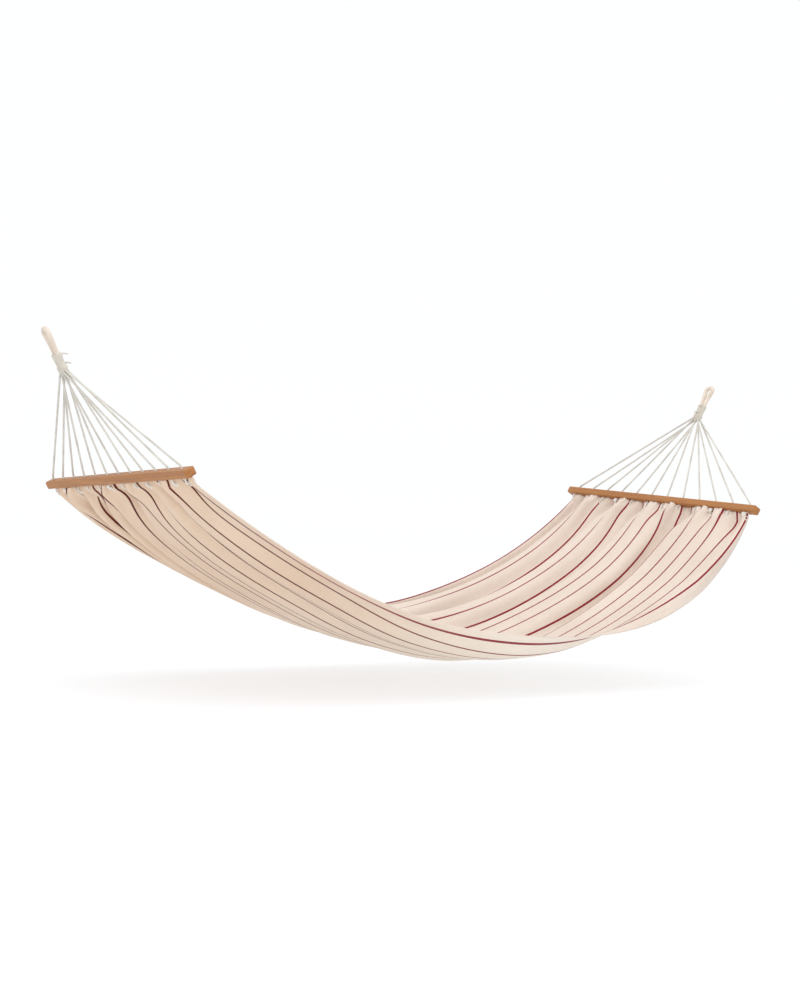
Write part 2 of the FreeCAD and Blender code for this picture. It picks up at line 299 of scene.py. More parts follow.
class Shader:
    """A small helper to write a material's nodes in order.

    A value that comes from another node is a pair of that node and its output.
    """

    def __init__(self, name):
        self.material = bpy.data.materials.new(name)
        self.material.use_nodes = True
        self.tree = self.material.node_tree
        self.tree.nodes.clear()
        self.surface = self.node("ShaderNodeBsdfPrincipled")
        self.link(self.surface, "BSDF", self.node("ShaderNodeOutputMaterial"), "Surface")

    def node(self, kind, **values):
        return self.fill(self.tree.nodes.new(kind), **values)

    def fill(self, node, **values):
        """Sets sockets of a node, named with _ for each space."""
        for name, value in values.items():
            node.inputs[name.replace("_", " ")].default_value = value
        return node

    def link(self, a, out, b, into):
        self.tree.links.new(a.outputs[out], b.inputs[into])

    def feed(self, value, node, index):
        if isinstance(value, tuple):
            self.link(value[0], value[1], node, index)
        else:
            node.inputs[index].default_value = value

    def mapping(self, source, output, scale):
        made = self.node("ShaderNodeMapping", Scale=scale)
        self.link(source, output, made, "Vector")
        return made

    def coordinates(self, scale):
        return self.mapping(self.node("ShaderNodeTexCoord"), "Object", scale)

    def noise(self, mapping, scale, detail, roughness, distortion=0.0):
        made = self.node("ShaderNodeTexNoise", Scale=scale, Detail=detail, Roughness=roughness)
        self.fill(made, Distortion=distortion)
        self.link(mapping, 0, made, "Vector")
        return made

    def ramp(self, source, *stops):
        made = self.node("ShaderNodeValToRGB")
        ramp = made.color_ramp
        while len(ramp.elements) < len(stops):
            ramp.elements.new(0.5)
        for element, (place, colour) in zip(ramp.elements, stops):
            element.position = place
            element.color = (*colour, 1)
        self.link(source, "Fac", made, "Fac")
        return made

    def maths(self, operation, *values, clamp=False):
        made = self.node("ShaderNodeMath")
        made.operation = operation
        made.use_clamp = clamp
        for index, value in enumerate(values):
            self.feed(value, made, index)
        return made

    def mix(self, factor, a, b, blend="MIX"):
        made = self.node("ShaderNodeMix")
        made.data_type = "RGBA"
        made.blend_type = blend
        for value, index in ((factor, MIX_FACTOR), (a, MIX_A), (b, MIX_B)):
            self.feed(value, made, index)
        return made

    def colour(self, mixed):
        self.link(mixed, MIX_OUT, self.surface, "Base Color")

    def bump(self, source, output, strength, distance, below=None):
        made = self.node("ShaderNodeBump", Strength=strength, Distance=distance)
        self.link(source, output, made, "Height")
        if below is not None:
            self.link(below, "Normal", made, "Normal")
        return made


def wood_material():
    """Oiled hardwood: long fibres and rings along the bar, darker pores, a satin finish."""
    s = Shader("oiled_wood")
    fibre_map = s.coordinates((260.0, 5.0, 260.0))
    ring_map = s.coordinates((60.0, 2.2, 60.0))
    pore_map = s.coordinates((900.0, 22.0, 900.0))
    fibres = s.noise(fibre_map, 1.0, 6.0, 0.6)
    rings = s.noise(ring_map, 1.0, 3.0, 0.5, 1.4)
    pores = s.noise(pore_map, 1.0, 2.0, 0.5)
    broad = s.ramp(rings, (0.30, (0.350, 0.134, 0.028)), (0.70, (0.460, 0.192, 0.048)))
    fine = s.ramp(fibres, (0.35, (0.72, 0.66, 0.60)), (0.65, (1.0, 1.0, 1.0)))
    tone = s.mix(0.55, (broad, "Color"), (fine, "Color"), "MULTIPLY")
    dark = s.ramp(pores, (0.28, (0.45, 0.36, 0.30)), (0.40, (1.0, 1.0, 1.0)))
    s.colour(s.mix(0.6, (tone, MIX_OUT), (dark, "Color"), "MULTIPLY"))
    gloss = s.ramp(fibres, (0.3, (0.42, 0.42, 0.42)), (0.7, (0.58, 0.58, 0.58)))
    s.link(gloss, "Color", s.surface, "Roughness")
    deep = s.bump(pores, "Fac", 0.25, 0.0004)
    top = s.bump(fibres, "Fac", 0.35, 0.0003, below=deep)
    s.link(top, "Normal", s.surface, "Normal")
    return s.material


def cord_material(name, light, dark, fibre_scale=900.0):
    """Twisted cotton: fine fibres over the strands, slightly greyer in patches."""
    s = Shader(name)
    near = s.coordinates((1.0, 1.0, 1.0))
    fibres = s.noise(near, fibre_scale, 5.0, 0.7)
    patches = s.noise(near, 22.0, 3.0, 0.5)
    base = s.ramp(patches, (0.30, dark), (0.62, light))
    shade = s.ramp(fibres, (0.25, (0.70, 0.67, 0.62)), (0.65, (1.0, 1.0, 1.0)))
    s.colour(s.mix(0.6, (base, "Color"), (shade, "Color"), "MULTIPLY"))
    s.fill(s.surface, Roughness=0.92, Sheen_Weight=0.25, Sheen_Roughness=0.5)
    fuzz = s.bump(fibres, "Fac", 0.6, 0.0005)
    s.link(fuzz, "Normal", s.surface, "Normal")
    return s.material


CUT_MARGIN = 0.033           # from the cloth's long edge to its first stripe and first eyelet
STRIPE_COUNT = 18
STRIPE_WIDTH = 0.0060
STRIPE_WAVER = 0.0003        # that a stripe wanders to each side
STRIPE_BLUR = 0.00025        # of its edges
YARN = 0.0011                # pitch of the weave
SLUBS_ACROSS, SLUBS_ALONG = 700.0, 14.0      # thick places of the yarns, in each metre


def canvas_material(name, dull, bright, reds, painted_light=None):
    """Unbleached cotton canvas: a plain weave with thin dark red warp stripes woven in.

    dull, bright and reds are the ends of its ground's and its stripes' tones.  painted_light is for
    the underside, whose ground turns from painted shade to those two lighter tones, painted light,
    along the cut.
    """
    s = Shader(name)
    uv = s.node("ShaderNodeUVMap")
    uv.uv_map = "cut"
    split = s.node("ShaderNodeSeparateXYZ")
    s.link(uv, "UV", split, "Vector")
    pitch = (CLOTH_WIDTH - 2 * CUT_MARGIN) / (STRIPE_COUNT - 1)

    near = s.coordinates((1.0, 1.0, 1.0))
    waver = s.noise(near, 60.0, 2.0, 0.5)
    drift = s.maths("MULTIPLY_ADD", (waver, "Fac"), 2 * STRIPE_WAVER, -STRIPE_WAVER)
    place = s.maths("ADD", (split, "X"), (drift, 0))
    shifted = s.maths("ADD", (place, 0), pitch / 2 - CUT_MARGIN)
    wrapped = s.maths("PINGPONG", (shifted, 0), pitch / 2)
    inside = s.maths("SUBTRACT", (wrapped, 0), pitch / 2 - STRIPE_WIDTH / 2)
    if painted_light:
        from_rim = s.maths("PINGPONG", (split, "X"), CLOTH_WIDTH / 2)
        outer = s.maths("LESS_THAN", (from_rim, 0), CUT_MARGIN + pitch / 2)
        inside = s.maths("MULTIPLY_ADD", (outer, 0), RIM_EXTRA, (inside, 0))
    stripe = s.maths("MULTIPLY", (inside, 0), 1 / STRIPE_BLUR, clamp=True)

    warp = s.maths("SINE", (s.maths("MULTIPLY", (split, "X"), 2 * math.pi / YARN), 0))
    weft = s.maths("SINE", (s.maths("MULTIPLY", (split, "Y"), 2 * math.pi / YARN), 0))
    weave = s.maths("MULTIPLY", (warp, 0), (weft, 0))
    slubs = s.noise(s.mapping(uv, "UV", (SLUBS_ACROSS, SLUBS_ALONG, 1.0)), 1.0, 4.0, 0.6)
    cross = s.noise(s.mapping(uv, "UV", (SLUBS_ALONG, SLUBS_ACROSS, 1.0)), 1.0, 4.0, 0.6)
    patches = s.noise(near, 5.0, 3.0, 0.5)

    cream = s.ramp(patches, (0.30, dull), (0.70, bright))
    red = s.ramp(slubs, (0.30, reds[0]), (0.70, reds[1]))
    if painted_light:
        # Painted shade and light on the underside: its ground turns from the shaded tan to the lit
        # pale tones along the cut from the left end, and its stripes turn from the shaded red to
        # the inside's red.
        share = s.maths(
            "MULTIPLY_ADD", (split, "Y"), 1 / SHADE_RAMP_LENGTH, -SHADE_RAMP_START / SHADE_RAMP_LENGTH, clamp=True
        )
        pale = s.ramp(patches, (0.30, painted_light[0]), (0.70, painted_light[1]))
        cream = s.mix((share, 0), (cream, "Color"), (pale, "Color"))
        # Painted light: the underside's stripes take the inside's red where they come into the
        # light, the outermost ones sooner.
        bright_red = s.ramp(slubs, (0.30, INSIDE_RED[0]), (0.70, INSIDE_RED[1]))
        lead = s.maths(
            "MULTIPLY_ADD", (split, "Y"), 1 / RIM_LIGHT_LENGTH, -RIM_LIGHT_START / RIM_LIGHT_LENGTH, clamp=True
        )
        redder = s.maths("MAXIMUM", (share, 0), (s.maths("MULTIPLY", (outer, 0), (lead, 0)), 0))
        red = s.mix((redder, 0), (red, "Color"), (bright_red, "Color"))
    tone_out = MIX_OUT if painted_light else "Color"
    yarns = s.ramp(slubs, (0.30, (0.86, 0.84, 0.80)), (0.68, (1.0, 1.0, 1.0)))
    ground = s.mix(0.7, (cream, tone_out), (yarns, "Color"), "MULTIPLY")
    picks = s.ramp(cross, (0.30, (0.90, 0.88, 0.85)), (0.68, (1.0, 1.0, 1.0)))
    ground = s.mix(0.6, (ground, MIX_OUT), (picks, "Color"), "MULTIPLY")
    s.colour(s.mix((stripe, 0), (ground, MIX_OUT), (red, tone_out)))
    s.fill(s.surface, Roughness=0.9, Sheen_Weight=0.15, Sheen_Roughness=0.5)
    s.fill(s.surface, Specular_IOR_Level=0.3)
    fine = s.bump(weave, 0, 0.35, 0.0003)
    rough = s.bump(slubs, "Fac", 0.3, 0.0004, below=fine)
    s.link(rough, "Normal", s.surface, "Normal")
    return s.material


# Colours are linear.  Those of cords are a light and a dark one, those of cloth two ends of a tone.
WOOD = wood_material()
CORD = cord_material("cotton_cord", (0.70, 0.675, 0.620), (0.56, 0.530, 0.475))
EYE = cord_material("served_eye", (0.80, 0.700, 0.605), (0.66, 0.560, 0.465))
# Painted light: a lighter copy of the cotton cord, for the loops and knots that lie in shade below
# the bars.
LOOPS_LIT = cord_material("cord_loops_lit", (0.87, 0.850, 0.810), (0.76, 0.730, 0.680))
TWINE = cord_material("whipping_twine", (0.70, 0.655, 0.580), (0.56, 0.515, 0.440))
INSIDE_RED = (0.195, 0.008, 0.016), (0.300, 0.016, 0.030)
# Painted shade: the underside's stripes, darker and browner than those of the inside.
SHADED_OUTSIDE_RED = (0.088, 0.013, 0.008), (0.145, 0.022, 0.013)
CREAM = (0.745, 0.635, 0.555), (0.810, 0.700, 0.620)
# Painted shade: the underside's ground, a darker and warmer copy of the inside's cream.
SHADED_TAN = (0.770, 0.582, 0.440), (0.830, 0.650, 0.505)
# Painted light: the lighter tones that the underside's ground turns to towards the middle.
LIT_PALE = (0.88, 0.790, 0.690), (0.93, 0.850, 0.750)
SHADE_RAMP_START, SHADE_RAMP_LENGTH = 0.42, 0.62         # of the underside's painted shade, which turns to painted light along the cut from the left end
RIM_LIGHT_START, RIM_LIGHT_LENGTH = 0.12, 0.30           # of the painted light on its outer stripes, which turns them to the lit red sooner
RIM_EXTRA = 0.0020           # that those stripes are wider by at each side, as the photo shows
CANVAS = canvas_material("striped_canvas", *CREAM, INSIDE_RED)
# The underside's canvas: a copy of the inside's, with painted shade and painted light.
CANVAS_BACK_SHADED = canvas_material("striped_canvas_back_shaded", *SHADED_TAN, SHADED_OUTSIDE_RED, painted_light=LIT_PALE)
THREAD = cord_material("stitching_thread", (0.82, 0.775, 0.68), (0.74, 0.68, 0.57), 1500.0)


# ---- bars

def dress_bar(side):
    """Keeps the CAD bar, and gives it the wood."""
    node = frame["nodes"][side + "_spreader_bar"]
    node.data.materials.clear()
    node.data.materials.append(WOOD)


# ---- fan cords

PHASE_STEP = 1.7             # radians that each cord is turned by from the one before


def fan_cord(end, number):
    """One taut cord: down from the throat, round the mouth of its hole, through to its knot."""
    across = end.hole(number)
    mouth = Vector((0, across, end.bar_foot + BAR_HEIGHT + MOUTH_RISE))
    pull = mouth.normalized()
    row = (number + 1) % CORD_ROWS - 1
    start = pull * CORD_START + Vector((row * CORD_ROW_GAP, 0, 0))
    near_mouth = mouth - (mouth - start).normalized() * MOUTH_REACH
    foot = Vector((0, across, end.bar_foot - 0.001))
    route = [start, near_mouth, mouth, foot]
    line = [end.hung @ p for p in spline_points(route, resolution=24)]
    path = evenly(line, 0.0022)
    radius = laid_rope(CORD_DIAMETER, CORD_LAY, phase=number * PHASE_STEP)
    obj = mesh_object(f"{end.side}_fan_cord_{number + 1:02d}", *tube(path, radius, sides=21))
    node = f"{end.side}_cord_{number + 1:02d}"
    finish_piece(obj, BODY[end.side], CORD, "cotton_cord", node)


# ---- eye loops and whippings

EYE_CONTACT = 0.0002         # half the gap between the eye's legs in the collar
EYE_FOOT = 0.004             # of the legs, inside the collar
EYE_KNEE = 0.014             # above the collar, where the legs part
EYE_ARC_POINTS = 9
EYE_SERVING = 0.0024         # pitch of the twine round the eye's rope
EYE_GROOVE = 0.0005


def eye_rope(end):
    """The served rope of the eye: up one leg, over the hook's seat and down the other."""
    leg = EYE_LEG / 2
    bend = EYE_RADIUS + leg
    centre = EYE_LENGTH - EYE_RADIUS
    beside = leg + EYE_CONTACT
    foot = COLLAR_LENGTH - EYE_FOOT
    knee = COLLAR_LENGTH + EYE_KNEE
    rise = centre - knee
    flare = math.asin(bend / math.hypot(beside, rise)) - math.atan2(beside, rise)
    touch = Vector((0, -bend * math.cos(flare), centre + bend * math.sin(flare)))
    up = [Vector((0, -beside, foot)), Vector((0, -beside, knee))]
    up.append(up[1].lerp(touch, 0.75))
    arc = []
    for angle in np.linspace(math.pi - flare, flare, EYE_ARC_POINTS):
        arc.append(Vector((0, bend * math.cos(angle), centre + bend * math.sin(angle))))
    down = [Vector((p.x, -p.y, p.z)) for p in reversed(up)]
    line = [end.held @ p for p in spline_points(up + arc + down, resolution=12)]
    path = evenly(line, 0.0007)
    around = served(EYE_LEG, EYE_SERVING, EYE_GROOVE)
    obj = mesh_object(end.side + "_eye_rope", *tube(path, around, sides=28))
    finish_piece(obj, "eye_loops", EYE, "cotton_cord", end.side + "_eye_loop")


SLEEVE_RADIUS = 0.0103
SLEEVE_FLARE = 0.0022        # that its top is wider by


def collar_radius(height):
    """Radius of the bound collar: a ball about the throat, a waist, then wider to the legs."""
    ball = math.sqrt(max(THROAT_RADIUS**2 - height**2, 0.0))
    share = min(max((height - COLLAR_LIP) / (COLLAR_LENGTH - COLLAR_LIP), 0.0), 1.0)
    sleeve = SLEEVE_RADIUS + SLEEVE_FLARE * share**1.5
    if height > COLLAR_LENGTH - COLLAR_LIP:
        over = (height - COLLAR_LENGTH + COLLAR_LIP) / 0.005
        sleeve *= math.sqrt(max(1 - over**2 * 0.35, 0.05))
    return max(ball, sleeve if height > 0.0 else 0.0)


WHIPPING_PITCH = 0.0021
WHIPPING_DEPTH = 0.0006      # of the grooves between its turns
WHIPPING_STEP = 0.0006       # between rings of the mesh
LEAST_RADIUS = 0.0008


def whipping(end):
    """The wound collar: twine laid turn on turn, widest at the ball where the fan spreads."""
    sides = 40
    heights = np.arange(-THROAT_RADIUS + 0.0002, COLLAR_LENGTH + 0.001, WHIPPING_STEP)
    verts = []
    for height in heights:
        base = collar_radius(float(height))
        for j in range(sides):
            angle = 2 * math.pi * j / sides
            phase = height / WHIPPING_PITCH - angle / (2 * math.pi)
            within = abs((phase % 1.0) - 0.5) * 2
            radius = base - WHIPPING_DEPTH + WHIPPING_DEPTH * math.sqrt(max(1 - within**2, 0))
            radius = max(radius, LEAST_RADIUS)
            wide = 1.0 + 0.12 * max(0.0, min(1.0, height / COLLAR_LENGTH))
            point = Vector((radius * math.cos(angle), radius * wide * math.sin(angle), height))
            verts.append(end.held @ point)
    rows = len(heights)
    faces = ring_faces(rows, sides)
    faces.append(tuple(reversed(range(sides))))
    faces.append(tuple((rows - 1) * sides + j for j in range(sides)))
    obj = mesh_object(end.side + "_whipping_twine", verts, faces)
    finish_piece(obj, "eye_loops", TWINE, "whipping_twine", end.side + "_whipping")


TWINE_TAILS = ((0.031, 0.6, 0.016), (0.008, 0.2, 0.013))     # heights, angles and lengths
TAIL_ROOT = 0.0095           # from the collar's axis
TAIL_DROP = 0.006            # of a tail's tip
TAIL_ARCH = 0.003            # of its middle above the line to the tip


def twine_tails(end):
    """The two knotted ends of the whipping twine, which stand out of the collar."""
    parts = Builder()
    for height, angle, length in TWINE_TAILS:
        out = Vector((math.cos(angle) * -end.sign, -math.sin(angle), 0))
        base = Vector((0, 0, height)) + out * TAIL_ROOT
        tip = base + out * length + Vector((0, 0, -TAIL_DROP))
        middle = base.lerp(tip, 0.5) + Vector((0, 0, TAIL_ARCH))
        line = [end.held @ p for p in spline_points([base, middle, tip], resolution=10)]
        path = evenly(line, 0.0008)
        parts.add(*tube(path, laid_rope(0.0034, 0.011), sides=12))
        heart = base + out * 0.003
        knot = [end.held @ (heart + Vector(p) * 0.00075) for p in trefoil_points(40)]
        parts.add(*tube(evenly(knot, 0.0006), laid_rope(0.0028, 0.010), sides=10))
    obj = parts.object(end.side + "_twine_tails")
    finish_piece(obj, "eye_loops", TWINE, "whipping_twine")


def trefoil_points(count):
    """A closed overhand knot, about three units in radius, its axis along Z."""
    turns = [2 * math.pi * i / count for i in range(count + 1)]
    return [
        (math.sin(t) + 2 * math.sin(2 * t), math.cos(t) - 2 * math.cos(2 * t), -math.sin(3 * t))
        for t in turns
    ]


# ---- knots and hem loops

EYELET_DEPTH = 0.0165        # of the worked eyelets below the top edge of the cloth
FRONT_KNOTS = {"left": (6, 10), "right": (0, 2, 8)}      # cords whose knot lies before the cloth
FRONT_KNOT = 0.00165, 0.0085, 70.0           # a knot's size, drop below the bar and tilt
BACK_KNOT = 0.00120, 0.0060, 20.0
KNOT_OFFSET = 0.0072         # of a knot's middle from the cloth
KNOT_STRETCH = 1.3           # along its axis
LOOP_THICKNESS = 0.0042


def cord_knots(end):
    """Each cord loops through an eyelet of the cloth, and an overhand knot beside it stops it."""
    parts = Builder()
    for number in range(CORD_COUNT):
        across = end.hole(number)
        rng = random.Random(number * 7 + (end.sign + 1))
        front = number in FRONT_KNOTS[end.side]
        face = -1 if front else 1
        size, drop, tilt = FRONT_KNOT if front else BACK_KNOT
        aside = rng.uniform(-0.004, 0.004)
        centre = Vector((KNOT_OFFSET * face, across + aside, end.bar_foot - drop))
        spin = Matrix.Rotation(rng.uniform(0, 2 * math.pi), 3, "Z")
        lie = Matrix.Rotation(math.radians(tilt), 3, "Y")
        knot = [
            end.hung @ (centre + lie @ spin @ Vector((x * size, y * size, z * size * KNOT_STRETCH)))
            for x, y, z in trefoil_points(60)
        ]
        parts.add(*tube(evenly(knot, 0.0008), laid_rope(LOOP_THICKNESS, 0.016), sides=14))
        top = end.bar_foot + 0.001
        low = end.bar_foot - EYELET_DEPTH
        lean = rng.uniform(-0.003, 0.003)
        loop = [
            Vector((0.0015, across, top)),
            Vector((0.0058, across + lean, (top + low) / 2)),
            Vector((0.0050, across + lean / 2, low + 0.003)),
            Vector((0, across, low)),
            Vector((-0.0050, across - lean / 2, low + 0.003)),
            Vector((-0.0058, across - lean, (top + low) / 2)),
            Vector((-0.0015, across, top)),
        ]
        line = [end.hung @ p for p in spline_points(loop, resolution=12)]
        parts.add(*tube(evenly(line, 0.0010), laid_rope(LOOP_THICKNESS, 0.014), sides=12))
    obj = parts.object(end.side + "_hem_knots")
    # Painted light: the loops and knots take the lighter copy of the cotton cord.
    finish_piece(obj, BODY[end.side], LOOPS_LIT, "cotton_cord", end.side + "_cord_knots")


# ---- the bed

HEM_HEIGHT = 0.010
END_REACH = 0.0175           # of the cloth above the foot of its hem, up to the bar
GRIP_LENGTH = 0.035          # of the cloth at a bar that hangs in line with the fan


class Bed:
    """The smooth bed that the cloth hangs in: a spine from bar to bar, and the cup across it."""

    def __init__(self):
        left, right = ENDS["left"], ENDS["right"]
        hem_foot = -left.hem_top + HEM_HEIGHT
        pull = left.held.to_3x3() @ Vector((0, 0, -1))
        self.middle = (left.throat + right.throat) / 2
        self.reach = (right.throat.x - left.throat.x) / 2 - hem_foot * pull.x
        self.end = hem_foot * pull.z
        self.tilts = (left.tilt, right.tilt)
        self.pull = math.atan2(-pull.z, pull.x)
        share = np.linspace(-1, 1, 801)
        power = SAG_POWER["left"] + (SAG_POWER["right"] - SAG_POWER["left"]) * (share + 1) / 2
        height = self.end - BED_SAG * (1 - np.abs(share) ** power)
        edge = np.stack([share * self.reach, height], axis=-1)
        top = np.array([pull.x, -pull.z]) * END_REACH
        self.spine = np.vstack([edge[0] + top * (-1, 1), edge, edge[-1] + top])
        self.share = np.concatenate([[-1], share, [1]])
        self.along = distances(self.spine)
        self.length = float(self.along[-1])

    def place(self, along):
        """Points of the spine, in its own plane."""
        return np.stack([np.interp(along, self.along, self.spine[:, k]) for k in (0, 1)], axis=-1)

    def at(self, along):
        """Share of the reach, point of the spine and slope of the spine at some distances."""
        near = 0.02
        run = self.place(along + near) - self.place(along - near)
        slope = np.arctan2(run[:, 1], run[:, 0])
        for distance, pull in ((along, -self.pull), (self.length - along, self.pull)):
            grip = np.exp(-((distance / GRIP_LENGTH) ** 2))
            slope = slope * (1 - grip) + pull * grip
        return np.interp(along, self.along, self.share), self.place(along), slope

    def tilt(self, share):
        """Turn of the bed about its length."""
        middle = (self.tilts[0] + self.tilts[1]) / 2
        spread = (self.tilts[1] - self.tilts[0]) / 2
        return middle + spread * share + BED_CURL * np.sin(np.pi * share)

    def world(self, share, place, slope, across, rise):
        """Points from their place across the bed and their rise along its normal."""
        x = place[:, :1] - rise * np.sin(slope)[:, None]
        z = place[:, 1:] + rise * np.cos(slope)[:, None]
        turn = self.tilt(share)[:, None]
        y = across * np.cos(turn) - z * np.sin(turn)
        z = across * np.sin(turn) + z * np.cos(turn)
        return np.stack([x + self.middle.x, y + self.middle.y, z + self.middle.z], axis=-1)


BED = Bed()

# The bed's section at nine stations from the left bar to the right one.  Places on the cut are in
# metres from its near edge, slopes in radians, and a section is drawn from its near edge.
STATIONS = np.linspace(-1, 1, 9)
BELLY_DEPTH = (0.0, 0.046, 0.066, 0.072, 0.074, 0.066, 0.050, 0.028, 0.0)
BELLY_PLACE = (0.58, 0.58, 0.57, 0.52, 0.46, 0.44, 0.42, 0.40, 0.40)
NEAR_POWER = (1.3, 1.3, 1.4, 1.7, 2.0, 2.4, 2.6, 2.6, 2.6)
FAR_POWER = (1.6, 1.6, 1.6, 1.5, 1.4, 1.4, 1.4, 1.4, 1.4)
LIP_SLOPE = (0.0, 0.20, 0.15, -0.20, -0.42, -0.38, -0.20, -0.05, 0.0)
LIP_WIDTH = 0.060, 0.120      # the near rim's lip ends between these places
NEAR_CURL = (0.0, -0.10, -0.10, 0.0, 0.0, 0.20, 0.80, 1.70, 2.40)
FAR_CURL = (2.40, 0.80, 0.0, -0.40, -0.80, -1.20, -1.30, -1.40, -1.40)
CURL_WIDTH = 0.022, 0.044     # of the margins, which curl more than the lip
FAR_RISE = (0.0, 0.020, 0.035, 0.030, 0.012, 0.0, 0.0, 0.0, 0.0)
HUNG_WIDTH = (0.800, 0.825, 0.838, 0.855, 0.865, 0.860, 0.845, 0.815, 0.790)
NEAR_SHIFT = (0.0, -0.010, -0.014, -0.004, 0.010, 0.012, 0.010, 0.004, 0.0)
# Pleats: widths of their steep and their gentle side, places of the steep side, and strengths.
PLEATS = (
    (0.080, 0.090, 0.335, (0.0, 0.0, 0.0, 0.0, 0.15, 0.35, 0.90, 1.60, 1.90)),
    (0.055, 0.080, 0.585, (0.0, 0.0, 0.0, 0.2, 0.60, 0.90, 1.20, 1.40, 1.50)),
    (0.055, 0.080, 0.755, (0.0, 0.0, 0.0, 0.3, 0.70, 1.00, 1.20, 1.40, 1.50)),
    (0.055, 0.050, 0.905, (0.0, 0.0, 0.0, 0.3, 0.70, 1.00, 1.10, 1.30, 1.40)),
)
# Ridges of the far side of the left half: widths, places and strengths.
RIDGES = (
    (0.090, 0.62, (0.9, 1.0, 1.0, 0.9, 0.6, 0.3, 0.0, 0.0, 0.0)),
    (0.095, 0.72, (1.0, 1.1, 1.1, 1.0, 0.7, 0.4, 0.0, 0.0, 0.0)),
    (0.090, 0.82, (1.0, 1.1, 1.1, 1.0, 0.7, 0.4, 0.0, 0.0, 0.0)),
    (0.080, 0.91, (0.8, 0.9, 0.9, 0.8, 0.6, 0.3, 0.0, 0.0, 0.0)),
)
# Shallow waves of the near side of the left half: places, slopes and strength.
WAVE_PLACES = (0.0, 0.06, 0.115, 0.17, 0.225, 0.28, 0.335, 0.39, 0.445, 0.50, 0.555, 0.62)
WAVE_SLOPES = (0.0, -0.05, -0.37, 0.03, 0.37, -0.21, 0.02, 0.18, -0.07, 0.22, -0.09, 0.0)
WAVE_STRENGTH = (0.6, 1.0, 0.9, 0.6, 0.2, 0.0, 0.0, 0.0, 0.0)
# Gathers between neighbouring cords: their strength, the distance in which they fade, and skew.
RUFFLE_SIZE = 0.70, 1.25
RUFFLE_FADE = 0.05, 0.16
RUFFLE_SKEW = 0.25
CRUMPLE_LENGTH = 0.022
RUFFLE_SEED = {"left": 4, "right": 9}
RUFFLE_SIGNS = {
    "left": (-1, 1, -1, -1, 1, -1, 1, -1, -1, 1, -1),
    "right": (1, -1, -1, 1, -1, -1, 1, -1, 1, -1, 1),
}


def smooth(places, values, wanted):
    """Values between given ones, on a smooth line through them."""
    places, values = np.array(places, float), np.array(values, float)
    wanted = np.clip(wanted, places[0], places[-1])
    index = np.clip(np.searchsorted(places, wanted) - 1, 0, len(places) - 2)
    gap = np.diff(places)
    grade = np.gradient(values, places)
    t = (wanted - places[index]) / gap[index]
    start, stop = values[index], values[index + 1]
    leave, arrive = grade[index] * gap[index], grade[index + 1] * gap[index]
    rise = stop - start
    square = 3 * rise - 2 * leave - arrive
    cube = leave + arrive - 2 * rise
    return start + leave * t + square * t**2 + cube * t**3


def smoothstep(low, high, x):
    """0 below low, 1 above high, and smooth between them."""
    t = np.clip((x - low) / (high - low), 0, 1)
    return t * t * (3 - 2 * t)


def ruffles(u, distance, side):
    """Slopes of the gathers between neighbouring cords: crumpled at the bar, then one lap each."""
    rng = random.Random(RUFFLE_SEED[side])
    gap = (CLOTH_WIDTH - 2 * CUT_MARGIN) / (CORD_COUNT - 1)
    crumple = np.exp(-((distance / CRUMPLE_LENGTH) ** 2))[:, None]
    total = np.zeros((len(distance), len(u)))
    for number, sign in enumerate(RUFFLE_SIGNS[side]):
        size = rng.uniform(*RUFFLE_SIZE)
        fade = rng.uniform(*RUFFLE_FADE)
        skew = rng.uniform(-RUFFLE_SKEW, RUFFLE_SKEW)
        t = (u - CUT_MARGIN - (number + 0.5) * gap) / (gap / 2)
        inside = np.abs(t) < 1
        lap = np.where(inside, np.sin(np.pi * (t + skew * (1 - t * t))), 0)
        waves = np.pi * (2.0 + (number % 2)) * t + sign
        small = np.where(inside, np.sin(waves), 0) * np.clip(4 - 4 * np.abs(t), 0, 1)
        reach = np.exp(-((distance[:, None] / fade) ** 1.5))
        total += size * reach * (sign * lap * (1 - 0.55 * crumple) + 0.8 * small * crumple)
    return total


def belly(u, share):
    """Slopes of the smooth section: down from the near edge, and up again to the far one."""
    depth, place, near, far, lip = (
        smooth(STATIONS, values, share)[:, None]
        for values in (BELLY_DEPTH, BELLY_PLACE, NEAR_POWER, FAR_POWER, LIP_SLOPE)
    )
    u = u[None, :]
    before = np.clip((place - u) / place, 0, 1)
    after = np.clip((u - place) / (1 - place), 0, 1)
    slopes = depth * (far * after ** (far - 1) / (1 - place) * (u > place))
    slopes -= depth * (near * before ** (near - 1) / place * (u <= place))
    return slopes + lip * (1 - smoothstep(*LIP_WIDTH, u))


def curls(u, share):
    """Slopes that the two margins add, where they turn over."""
    near = np.outer(smooth(STATIONS, NEAR_CURL, share), 1 - smoothstep(*CURL_WIDTH, u))
    far = np.outer(smooth(STATIONS, FAR_CURL, share), 1 - smoothstep(*CURL_WIDTH, CLOTH_WIDTH - u))
    return near + far


def swell(distance, width):
    """A smooth swell of a given width about no distance."""
    return np.where(np.abs(distance) < width / 2, np.cos(np.pi * distance / width) ** 2, 0)


def pleats(u, share):
    """Slopes of the long pleats of the right half and the ridges of the left one."""
    total = np.zeros((len(share), len(u)))
    for drop, rise, place, strengths in PLEATS:
        distance = u[None, :] - place
        strength = smooth(STATIONS, strengths, share)[:, None]
        gentle = swell(distance - (drop + rise) / 2, rise) * drop / rise
        total += strength * (gentle - swell(distance, drop))
    for width, place, strengths in RIDGES:
        distance = u[None, :] - place
        strength = smooth(STATIONS, strengths, share)[:, None]
        inside = np.abs(distance) < width / 2
        total -= strength * np.where(inside, np.sin(2 * np.pi * distance / width), 0)
    return total


EASE_LENGTH = 0.06           # in which pleats and waves grow out of a bar
HOLD_LENGTH = 0.08           # in which the cloth is held at the pitch of the cords
STEEPEST = 2.0               # strength of the folds that is tried
HALVINGS = 24
SECTION_POINTS = 1001


